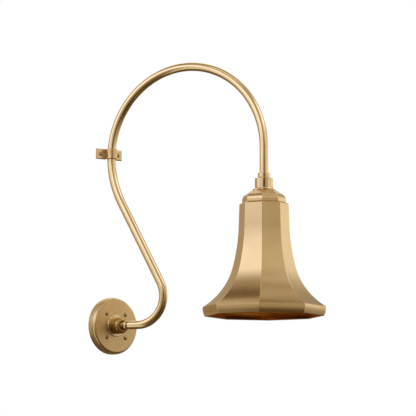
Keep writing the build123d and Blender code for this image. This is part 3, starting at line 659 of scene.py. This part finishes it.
tube_brass, tree, shader = new_finish("polished_tube_brass")
surface = put(tree, "ShaderNodeUVMap", {"uv_map": "surface"}).outputs[0]
lines = use_group(tree, drawn_lines, Surface=surface, Across=2200.0, Along=14.0)["Lines"]
skin = use_group(
    tree, brass_skin, Place=place_on_object(tree), Lines=lines,
    Bright=(0.88, 0.68, 0.40, 1.0), Dull=(0.66, 0.46, 0.23, 1.0),
    Tarnish=0.3, Patches=26.0, Line_contrast=0.1, Roughness_A=0.17, Roughness_B=0.23,
)
lay_brass(tree, shader, skin, 0.6)

arm = bent_tube("bent_arm_tube")
arm.data.materials.append(tube_brass)
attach(arm, "arm")
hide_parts("arm_tube")

# ---------------------------------------------------------------------------
# Wall clip: a cast brass strap, two flat ears with an arch over the tube, held
# by two slotted screws. The tube can slide in depth under it as the arm turns.
# ---------------------------------------------------------------------------
clip_brass = turned_brass(
    "cast_clip_brass", tuple(PIVOT + ARM_OUT * riser_out), (0.0, 0.0, 0.0), across=900.0,
    Bright=(0.78, 0.57, 0.30, 1.0), Dull=(0.56, 0.37, 0.17, 1.0),
    Tarnish=0.5, Patches=80.0, Line_contrast=0.25, Roughness_A=0.24, Roughness_B=0.36,
)
finish_nodes(clip_brass, "wall_clip")

# ---------------------------------------------------------------------------
# Fittings at the tube's end: ferrule, round collar and flared foot, turned from
# brass bar, polished and clamped between the tube and the shade by a hollow
# screw in the end bush.
# ---------------------------------------------------------------------------
fitting_brass = turned_brass(
    "polished_fitting_brass", tuple(shade_centre), (0.0, 0.0, 0.0),
    Bright=(0.86, 0.66, 0.38, 1.0), Dull=(0.64, 0.44, 0.21, 1.0),
    Tarnish=0.35, Patches=70.0, Line_contrast=0.3, Roughness_A=0.15, Roughness_B=0.25,
)
finish_nodes(fitting_brass, "tube_ferrule", "shade_collar", "shade_flange", "end_bush", "shade_nut")

# ---------------------------------------------------------------------------
# Shade: three eight-sided pieces of brass sheet, folded and soldered at the
# corners: a domed cap, a flared bell and a heavier bowed band round the mouth.
# Satin finished outside and browner just above the band. Inside, a deeper orange is painted on as a
# painted reflection of light bounced round within the shade.
# ---------------------------------------------------------------------------
SHADE_SIDES = 8
SHEET = 0.0015
SHEET_LIP = 0.0004
CORNER_OUTSIDE = 0.0017
CORNER_INSIDE = 0.0003
CORNER_STEPS = 5
CORNER_MAP_STEP = 0.0005
SIDE_STEPS = 6
SHADE_STEP = 0.004

half_side = math.pi / SHADE_SIDES
corner_spin = ARM_YAW - math.pi / 2 + 2 * half_side * np.arange(SHADE_SIDES)


def eight_sided(name, half_width, height, slant, corner, inner, round_hole=None):
    """Closed outline carried round eight flat sides with rounded corners. In plan a point is
    (half width - corner) * its place on the sharp octagon of half width 1 + corner * its outward
    direction, which turns only in the corners. The normal leans from that direction by the slant.
    Rows listed in round_hole lie on a circle."""
    turn = np.concatenate([
        np.linspace(-half_side, half_side, CORNER_STEPS + 1), np.full(SIDE_STEPS - 1, half_side)
    ])
    # the place slides from one corner to the next only along the side
    slide = np.concatenate([np.zeros(CORNER_STEPS + 1), np.arange(1, SIDE_STEPS) / SIDE_STEPS])
    corner_angle = (corner_spin + half_side)[:, None]
    next_angle = corner_angle + 2 * half_side
    facing = (corner_angle + turn).reshape(-1)
    reach = 1 / math.cos(half_side)
    here = np.stack([np.cos(corner_angle), np.sin(corner_angle)], -1) * reach
    there = np.stack([np.cos(next_angle), np.sin(next_angle)], -1) * reach
    plan = (here + (there - here) * slide[None, :, None]).reshape(-1, 2)
    outward = np.stack([np.cos(facing), np.sin(facing)], -1)
    flat = (half_width - corner)[:, None, None] * plan + corner[:, None, None] * outward
    if round_hole is not None:
        circle = plan / np.linalg.norm(plan, axis=1)[:, None]
        flat[round_hole] = half_width[round_hole, None, None] * circle
    grid = np.concatenate([flat, np.broadcast_to(height[:, None, None], flat.shape[:2] + (1,))], -1)
    grid[..., :2] += shade_centre[:2]
    normals = np.concatenate([
        np.cos(slant)[:, None, None] * outward,
        np.broadcast_to(np.sin(slant)[:, None, None], flat.shape[:2] + (1,)),
    ], -1)
    edge = np.linalg.norm(plan, axis=1)
    side_hops = np.linalg.norm(np.diff(plan, axis=0, append=plan[:1]), axis=1)
    around = np.concatenate([[0.0], np.cumsum(side_hops)]) * half_width.max()
    around = around + CORNER_MAP_STEP * np.arange(len(around))
    hops = np.hypot(np.diff(half_width, append=half_width[:1]), np.diff(height, append=height[:1]))
    return closed_surface(
        name, grid, normals, around, np.concatenate([[0.0], np.cumsum(hops)]),
        edge=(edge - 1) / (reach - 1), inside=inner[:, None],
    )


def sheet_loop(line, heading, wall, lip):
    """Closed outline of a wall of sheet from its outer line, listed upwards: out along the line,
    over the top edge, back at the wall's depth along the normals, and round the bottom edge."""
    outward = np.stack([np.sin(heading), -np.cos(heading)], -1)
    along_line = np.stack([np.cos(heading), np.sin(heading)], -1)
    outer = line.copy()
    outer[0] += along_line[0] * lip
    outer[-1] -= along_line[-1] * lip
    back = line - wall * outward
    back[0] += along_line[0] * lip
    back[-1] -= along_line[-1] * lip
    quarter = np.linspace(0.0, math.pi / 2, LIP_STEPS + 1)[1:]
    rows = [outer]
    slants = [np.arctan2(outward[:, 1], outward[:, 0])]
    inner = [np.zeros(len(line))]

    def add_lip(corner, ahead, aside, lean):
        """Two quarter rounds of the lip's radius, from one face of the sheet to its edge and from
        there to the other face: middle + lip * (cosine * one direction + sine * the next)."""
        sine = np.sin(quarter)[:, None]
        cosine = np.cos(quarter)[:, None]
        rows.append(corner - aside * lip + lip * (cosine * aside + sine * ahead))
        rows.append(corner - aside * (wall - lip) + lip * (cosine * ahead - sine * aside))
        slants.extend([lean + quarter, lean + math.pi / 2 + quarter])
        inner.extend([np.zeros(len(quarter)), np.full(len(quarter), 0.5)])

    top_lean = math.atan2(outward[-1, 1], outward[-1, 0])
    add_lip(outer[-1], along_line[-1], outward[-1], top_lean)
    rows.append(back[::-1][1:])
    slants.append(np.arctan2(outward[::-1][1:, 1], outward[::-1][1:, 0]) + math.pi)
    inner.append(np.ones(len(line) - 1))
    foot_lean = math.atan2(outward[0, 1], outward[0, 0]) + math.pi
    add_lip(back[0], -along_line[0], -outward[0], foot_lean)
    return tuple(np.concatenate(column)[:-1] for column in (rows, slants, inner))


def corner_sizes(inner):
    """Corner radius row by row: larger outside than inside."""
    return CORNER_OUTSIDE + (CORNER_INSIDE - CORNER_OUTSIDE) * inner


dome_low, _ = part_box("shade_dome")
DOME_TOP_HALF = 0.0241
DOME_SLOPE = math.radians(35.0)
DOME_SLOPE_RUN = 0.0171
DOME_ROUND = 0.015
DOME_SKIRT = 0.00517
DOME_STEP = 0.002
ROD_HOLE = 0.0051
TOP_BEND = 0.0025

# the dome's side, upwards: skirt, knee, slope, a small bend, then the flat top in to the rod hole
top_tangent = TOP_BEND * math.tan(DOME_SLOPE / 2)
dome_half = (
    DOME_TOP_HALF + DOME_SLOPE_RUN * math.cos(DOME_SLOPE) + DOME_ROUND * (1 - math.sin(DOME_SLOPE))
)
knee_turn = math.pi / 2 - DOME_SLOPE
line, heading = follow((dome_half, float(dome_low[2])), math.pi / 2, (
    (DOME_SKIRT, 0.0),
    (DOME_ROUND * knee_turn, knee_turn),
    (DOME_SLOPE_RUN - top_tangent, 0.0),
    (TOP_BEND * DOME_SLOPE, DOME_SLOPE),
    (DOME_TOP_HALF - top_tangent - ROD_HOLE, 0.0),
), DOME_STEP)
loop, slants, inner = sheet_loop(line, heading, SHEET, SHEET_LIP)
hole_rows = loop[:, 0] < ROD_HOLE + 2 * SHEET_LIP
dome = eight_sided(
    "eight_sided_dome", loop[:, 0], loop[:, 1], slants, np.minimum(corner_sizes(inner), loop[:, 0]),
    inner, hole_rows,
)

NECK_TAPER = math.radians(1.8)
NECK_RUN = 0.0482
SHOULDER_DROP = 0.0036
SHOULDER_OUT = 0.0052
SHOULDER_LIP = 0.0003
UPPER_FLARE_RADIUS = 0.430
UPPER_FLARE_END = math.radians(14.0)
LOWER_FLARE_RADIUS = 0.145
LOWER_FLARE_END = math.radians(56.4)
SHOULDER_BEND = 0.0009

# the bell's side, downwards: shoulder, bend, tapered neck, a wide flare and a tighter one
shoulder_heading = -math.atan2(SHOULDER_DROP, SHOULDER_OUT)
neck_heading = NECK_TAPER - math.pi / 2
shoulder_turn = neck_heading - shoulder_heading
shoulder_tangent = SHOULDER_BEND * math.tan(-shoulder_turn / 2)
line, heading = follow((dome_half + SHOULDER_LIP, float(dome_low[2])), shoulder_heading, (
    (math.hypot(SHOULDER_DROP, SHOULDER_OUT) - shoulder_tangent, 0.0),
    (-SHOULDER_BEND * shoulder_turn, shoulder_turn),
    (NECK_RUN - shoulder_tangent, 0.0),
    (UPPER_FLARE_RADIUS * (UPPER_FLARE_END - NECK_TAPER), UPPER_FLARE_END - NECK_TAPER),
    (LOWER_FLARE_RADIUS * (LOWER_FLARE_END - UPPER_FLARE_END), LOWER_FLARE_END - UPPER_FLARE_END),
), SHADE_STEP)
flare_edge = line[-1]
loop, slants, inner = sheet_loop(line[::-1], heading[::-1] + math.pi, SHEET, SHEET_LIP)
bell = eight_sided("eight_sided_bell", loop[:, 0], loop[:, 1], slants, corner_sizes(inner), inner)

RIM_WALL = 0.0026
RIM_HEIGHT = 0.021
RIM_TUCK = 0.004
RIM_BELLY = 0.0015
RIM_LIP = 0.0006
RIM_STEP = 0.0025

# the band's side, upwards: one arc from the tucked-in mouth to the flare's edge
chord = math.hypot(RIM_TUCK, RIM_HEIGHT)
chord_heading = math.atan2(RIM_HEIGHT, RIM_TUCK)
belly_height = RIM_BELLY * math.sin(chord_heading)
rim_turn = 4 * math.atan2(belly_height, chord / 2)
rim_radius = chord / 2 / math.sin(rim_turn / 2)
line, heading = follow(
    (flare_edge[0] - RIM_TUCK, flare_edge[1] - RIM_HEIGHT), chord_heading - rim_turn / 2,
    ((rim_radius * rim_turn, rim_turn),), RIM_STEP,
)
loop, slants, inner = sheet_loop(line, heading, RIM_WALL, RIM_LIP)
rim = eight_sided("eight_sided_rim", loop[:, 0], loop[:, 1], slants, corner_sizes(inner), inner)

# the edges are worn bright from this share of the way out to a corner
WORN_FROM = 0.93
WORN_SHARE = 0.35
# above the band the brass is browner: the dull share grows over this height down to the flare's edge
BROWNER_HEIGHT = 0.075
BROWNER_SHARE = 0.85

shade_brass, tree, shader = new_finish("folded_shade_brass")
surface = put(tree, "ShaderNodeUVMap", {"uv_map": "surface"}).outputs[0]
inside = put(tree, "ShaderNodeAttribute", {"attribute_name": "inside"}).outputs["Fac"]
edge = put(tree, "ShaderNodeAttribute", {"attribute_name": "edge"}).outputs["Fac"]
place = place_on_object(tree)
level = put(tree, "ShaderNodeSeparateXYZ", _0=place).outputs["Z"]
browner_share = put(
    tree, "ShaderNodeMapRange", Value=level, From_Min=float(flare_edge[1]) + BROWNER_HEIGHT,
    From_Max=float(flare_edge[1]), To_Max=BROWNER_SHARE,
).outputs[0]
above_band = maths(tree, "GREATER_THAN", level, float(flare_edge[1]) - SHEET)
browner_share = maths(tree, "MULTIPLY", browner_share, above_band)
browner_share = maths(tree, "MULTIPLY", browner_share, maths(tree, "SUBTRACT", 1.0, inside))
worn = put(
    tree, "ShaderNodeMapRange", Value=edge, From_Min=WORN_FROM, From_Max=1.0, To_Max=WORN_SHARE
).outputs[0]
lines = use_group(tree, drawn_lines, Surface=surface, Across=2600.0, Along=18.0)["Lines"]
# inside the shade the colours are a deeper orange: painted reflection, standing for light bounced round
# within the shade
bright = blend_colours(tree, inside, (0.80, 0.59, 0.32, 1.0), (0.88, 0.55, 0.21, 1.0))
dull = blend_colours(tree, inside, (0.52, 0.35, 0.16, 1.0), (0.68, 0.38, 0.12, 1.0))
skin = use_group(
    tree, brass_skin, Place=place, Lines=lines, Worn=maths(tree, "SUBTRACT", worn, browner_share),
    Bright=bright, Dull=dull, Tarnish=0.3, Patches=14.0, Line_contrast=0.14,
    Roughness_A=0.22, Roughness_B=0.30,
)
lay_brass(tree, shader, skin, 2.5)
for piece, node in ((dome, "shade_dome"), (bell, "shade_body"), (rim, "shade_rim")):
    piece.data.materials.append(shade_brass)
    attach(piece, "arm")
    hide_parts(node)

# ---------------------------------------------------------------------------
# Lampholder: a pressed brass cap over a glazed porcelain body, with a threaded
# brass shell, a sprung contact and two terminal screws inside.
# ---------------------------------------------------------------------------
holder_brass = turned_brass(
    "pressed_holder_brass", tuple(shade_centre), (0.0, 0.0, 0.0),
    Bright=(0.84, 0.66, 0.36, 1.0), Dull=(0.66, 0.48, 0.24, 1.0),
    Tarnish=0.4, Patches=120.0, Line_contrast=0.3, Roughness_A=0.22, Roughness_B=0.34,
)
finish_nodes(holder_brass, "socket_cap", "socket_shell", "socket_contact")

porcelain, tree, shader = cloudy_finish(
    "glazed_porcelain", 0.0, 0.05,
    Colour_A=(0.80, 0.79, 0.76, 1.0), Colour_B=(0.74, 0.73, 0.69, 1.0),
    Roughness_A=0.10, Roughness_B=0.18, Patches=45.0, Specks=700.0,
)
shader.inputs["Coat Weight"].default_value = 0.4
shader.inputs["Coat Roughness"].default_value = 0.06
finish_nodes(porcelain, "socket_body")

# ---------------------------------------------------------------------------
# Bulb: clear blown glass with a pressed aluminium screw cap, a black glass tip
# round the contact, a glass stem and four upright filaments on thin wires.
# ---------------------------------------------------------------------------
cap_metal = turned_brass(
    "pressed_cap_aluminium", tuple(shade_centre), (0.0, 0.0, 0.0),
    Bright=(0.86, 0.86, 0.86, 1.0), Dull=(0.66, 0.66, 0.67, 1.0),
    Tarnish=0.4, Patches=150.0, Line_contrast=0.3, Roughness_A=0.25, Roughness_B=0.38,
)
finish_nodes(cap_metal, "bulb_cap")

tip_glass, _, _ = cloudy_finish(
    "black_tip_glass", 0.0, 0.05,
    Colour_A=(0.020, 0.018, 0.022, 1.0), Colour_B=(0.035, 0.030, 0.034, 1.0),
    Roughness_A=0.08, Roughness_B=0.15, Patches=250.0, Specks=1800.0,
)
finish_nodes(tip_glass, "bulb_tip")

BULB_IOR = 1.47
for name, nodes, tint in (
    ("blown_bulb_glass", ("bulb_glass",), (0.99, 0.985, 0.97, 1.0)),
    ("pressed_stem_glass", ("bulb_stem",), (0.95, 0.96, 0.94, 1.0)),
):
    glass, tree, shader = cloudy_finish(
        name, 0.0, 0.02, Colour_A=tint, Colour_B=tuple(0.97 * value for value in tint[:3]) + (1.0,),
        Roughness_A=0.01, Roughness_B=0.03, Patches=40.0, Specks=300.0,
    )
    shader.inputs["Transmission Weight"].default_value = 1.0
    shader.inputs["IOR"].default_value = BULB_IOR
    finish_nodes(glass, *nodes)

filament_coat, _, _ = cloudy_finish(
    "phosphor_filament", 0.0, 0.3,
    Colour_A=(0.78, 0.55, 0.16, 1.0), Colour_B=(0.66, 0.42, 0.10, 1.0),
    Roughness_A=0.5, Roughness_B=0.7, Patches=400.0, Specks=4000.0,
)
finish_nodes(filament_coat, "bulb_filaments")
